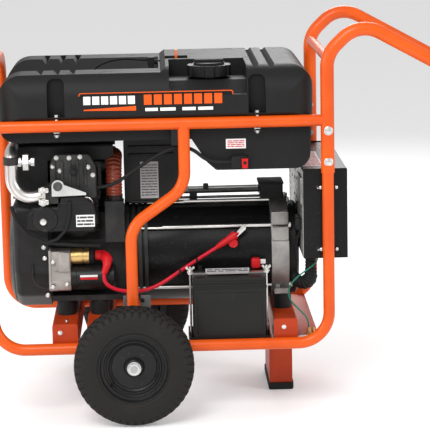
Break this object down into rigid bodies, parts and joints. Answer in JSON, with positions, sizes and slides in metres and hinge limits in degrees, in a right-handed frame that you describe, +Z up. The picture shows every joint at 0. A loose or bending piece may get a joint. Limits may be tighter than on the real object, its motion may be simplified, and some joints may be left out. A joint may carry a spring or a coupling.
{
  "type": "portable generator",
  "caption": "Wheeled open-frame generator: a twin-cylinder engine and alternator on one shaft, saddle tank, battery, control box and bent push handle.",
  "frame": {"origin": "on the ground under the middle of the whole object", "axes": "+X towards the push handle, +Y towards the side away from the filler cap, +Z up"},
  "size_m": [1.262, 0.792, 1.0135],
  "materials": {
    "frame_paint": "gloss",
    "eye_paint": "gloss",
    "bracket_paint": "satin",
    "tray_paint": "satin",
    "foot_rubber": "matte",
    "mount_rubber": "matte",
    "axle_steel": "satin",
    "tyre_rubber": "matte",
    "rim_paint": "satin",
    "tank_plastic": "satin",
    "cap_plastic": "satin",
    "gasket_rubber": "matte",
    "engine_cast": "cast",
    "shaft_steel": "machined",
    "fan_cast": "cast",
    "blower_paint": "satin",
    "screen_paint": "satin",
    "starter_metal": "die cast",
    "cleaner_plastic": "satin",
    "duct_plastic": "satin",
    "lever_zinc": "zinc plated",
    "exhaust_steel": "satin",
    "muffler_paint": "matte",
    "stator_paint": "gloss",
    "end_aluminium": "cast",
    "cover_plastic": "satin",
    "rod_zinc": "zinc plated",
    "battery_case": "satin",
    "box_paint": "gloss",
    "back_zinc": "zinc plated",
    "panel_paint": "satin",
    "switch_red": "gloss",
    "breaker_black": "satin",
    "boot_rubber": "matte",
    "valve_body": "satin",
    "valve_red": "gloss",
    "bolt_zinc": "zinc plated",
    "cable_red": "satin",
    "hose_rubber": "matte",
    "wire_green": "gloss",
    "stud_brass": "bare"
  },
  "bodies": {
    "frame": {"lower_rails": "frame_paint", "left_uprights": "frame_paint", "right_uprights": "frame_paint", "upper_rails": "frame_paint", "s_posts": "frame_paint", "handle_arms": "frame_paint", "cross_tubes": "frame_paint", "cross_channels": "frame_paint", "foot_channel": "frame_paint", "lifting_eye": "eye_paint", "axle_brackets": "bracket_paint", "battery_tray": "tray_paint", "battery_hold_down": "tray_paint", "foot_pad": "foot_rubber", "rubber_mounts": "mount_rubber", "axle": "axle_steel", "fuel_tank": "tank_plastic", "crankcase": "engine_cast", "cylinders": "engine_cast", "head_covers": "engine_cast", "carburettor": "engine_cast", "bell_housing": "engine_cast", "blower_housing": "blower_paint", "engine_shroud": "blower_paint", "intake_screen": "screen_paint", "starter": "starter_metal", "air_cleaner": "cleaner_plastic", "intake_duct": "duct_plastic", "exhaust_elbow": "exhaust_steel", "muffler": "muffler_paint", "stator": "stator_paint", "rear_end_bell": "end_aluminium", "rear_cover": "cover_plastic", "terminal_box": "cover_plastic", "stay_bolts": "rod_zinc", "battery": "battery_case", "control_box": "box_paint", "control_box_back": "back_zinc", "control_panel": "panel_paint", "harness_boot": "boot_rubber", "fuel_valve": "valve_body", "bolts_and_nuts": "bolt_zinc", "positive_cable": "cable_red", "fuel_hose": "hose_rubber", "vent_hose": "hose_rubber", "ground_wire": "wire_green", "ground_stud": "stud_brass"},
    "wheel_near": {"tyre_near": "tyre_rubber", "rim_near": "rim_paint"},
    "wheel_far": {"tyre_far": "tyre_rubber", "rim_far": "rim_paint"},
    "crank_train": {"crankshaft": "shaft_steel", "flywheel_fan": "fan_cast", "rotor": "shaft_steel"},
    "cap_seal": {"cap_gasket": "gasket_rubber"},
    "cap": {"fuel_cap": "cap_plastic"},
    "valve_lever": {"fuel_valve_lever": "valve_red"},
    "governor": {"governor_arm": "lever_zinc"},
    "rocker": {"start_switch": "switch_red"},
    "breaker": {"main_breaker": "breaker_black"}
  },
  "joints": [
    {"name": "wheel_near_spin", "type": "hinge", "parent": "frame", "child": "wheel_near", "pos_m": [-0.257, -0.349, 0.1545], "axis": [0, 1, 0], "continuous": true},
    {"name": "wheel_far_spin", "type": "hinge", "parent": "frame", "child": "wheel_far", "pos_m": [-0.257, 0.349, 0.1545], "axis": [0, 1, 0], "continuous": true},
    {"name": "crank_spin", "type": "hinge", "parent": "frame", "child": "crank_train", "pos_m": [-0.3, 0, 0.386], "axis": [1, 0, 0], "continuous": true},
    {"name": "cap_lift", "type": "slide", "parent": "frame", "child": "cap_seal", "axis": [0, 0, 1], "range_m": [0, 0.06]},
    {"name": "cap_turn", "type": "hinge", "parent": "cap_seal", "child": "cap", "pos_m": [-0.045, -0.15, 0.889], "axis": [0, 0, 1], "continuous": true},
    {"name": "fuel_valve_turn", "type": "hinge", "parent": "frame", "child": "valve_lever", "pos_m": [0.038, -0.286, 0.664], "axis": [0, 1, 0], "range_deg": [0, 90]},
    {"name": "governor_swing", "type": "hinge", "parent": "frame", "child": "governor", "pos_m": [-0.442, -0.24, 0.606], "axis": [0, 1, 0], "range_deg": [-12, 12]},
    {"name": "start_rock", "type": "hinge", "parent": "frame", "child": "rocker", "pos_m": [0.291, 0, 0.56], "axis": [0, 1, 0], "range_deg": [-8, 8]},
    {"name": "breaker_throw", "type": "hinge", "parent": "frame", "child": "breaker", "pos_m": [0.291, 0, 0.47], "axis": [0, 1, 0], "range_deg": [-25, 25]}
  ]
}
